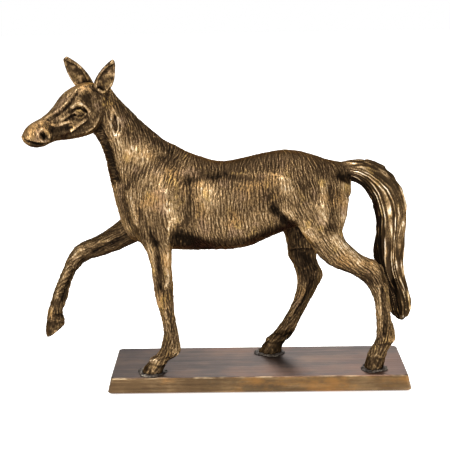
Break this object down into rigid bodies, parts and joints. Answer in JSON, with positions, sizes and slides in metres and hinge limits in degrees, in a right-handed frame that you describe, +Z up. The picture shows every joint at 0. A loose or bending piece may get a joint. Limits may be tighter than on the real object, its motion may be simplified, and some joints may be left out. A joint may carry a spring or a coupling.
{
  "type": "horse statue",
  "caption": "Walking horse figure in patinated bronze with its head turned to its left and one foreleg raised, screwed to a low rectangular plinth with drafted sides.",
  "frame": {"origin": "middle of the whole object's footprint box, on the surface it stands on", "axes": "+X from the horse's nose to its tail, +Y to the horse's right, +Z up"},
  "size_m": [0.386, 0.1, 0.3371],
  "materials": {
    "figure_bronze": "antique dark brown patina, rubbed back to gold on the raised chased strokes",
    "plinth_bronze": "brushed lengthwise, grey-brown patina on top, golden brown sides",
    "braze": "matt grey-green braze, wire brushed",
    "steel_fixings": "zinc plated",
    "felt": "dark green wool felt"
  },
  "bodies": {
    "root": {"plinth": "plinth_bronze", "body_left_half": "figure_bronze", "body_right_half": "figure_bronze", "neck": "figure_bronze", "head": "figure_bronze", "left_ear": "figure_bronze", "right_ear": "figure_bronze", "left_foreleg": "figure_bronze", "right_foreleg": "figure_bronze", "left_hind_leg": "figure_bronze", "right_hind_leg": "figure_bronze", "tail": "figure_bronze", "left_fore_braze": "braze", "left_hind_braze": "braze", "right_hind_braze": "braze", "left_fore_screw": "steel_fixings", "left_fore_washer": "steel_fixings", "left_hind_screw": "steel_fixings", "left_hind_washer": "steel_fixings", "right_hind_screw": "steel_fixings", "right_hind_washer": "steel_fixings", "left_front_felt_foot": "felt", "right_front_felt_foot": "felt", "left_rear_felt_foot": "felt", "right_rear_felt_foot": "felt"}
  },
  "joints": []
}
